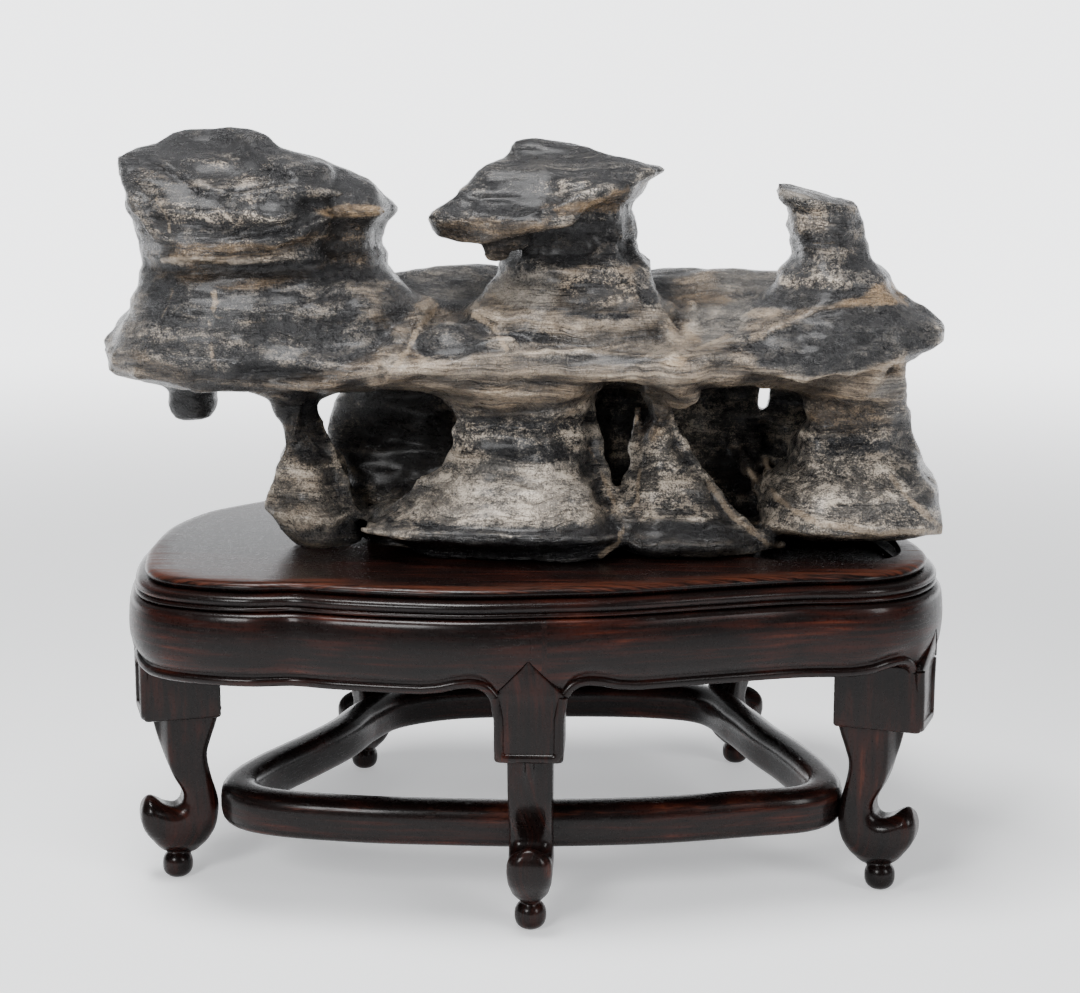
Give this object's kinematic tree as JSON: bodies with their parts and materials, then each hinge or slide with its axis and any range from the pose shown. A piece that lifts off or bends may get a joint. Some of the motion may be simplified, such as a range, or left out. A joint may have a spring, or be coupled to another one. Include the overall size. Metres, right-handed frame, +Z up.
{
  "type": "scholar's rock on carved stand",
  "caption": "Dark water-worn scholar's rock with peaks, a shelf and caves, resting in a carved hardwood stand with cabriole legs, ball feet and a ring stretcher.",
  "frame": {"origin": "centre of the bounding box's footprint, on the surface the ball feet stand on", "axes": "+X along the stone's length towards its slender spire, +Y towards the back of the stand, +Z up"},
  "size_m": [0.409, 0.3155, 0.3651],
  "materials": {
    "dark_limestone": "water-worn, waxed satin",
    "carved_hardwood": "dark lacquered hardwood"
  },
  "bodies": {
    "root": {"stone": "dark_limestone", "top_board": "carved_hardwood", "waist_moulding": "carved_hardwood", "apron_front_right": "carved_hardwood", "apron_right": "carved_hardwood", "apron_back": "carved_hardwood", "apron_left": "carved_hardwood", "apron_front_left": "carved_hardwood", "leg_front_centre": "carved_hardwood", "leg_front_right": "carved_hardwood", "leg_back_right": "carved_hardwood", "leg_back_left": "carved_hardwood", "leg_front_left": "carved_hardwood", "stretcher_ring": "carved_hardwood"}
  },
  "joints": []
}
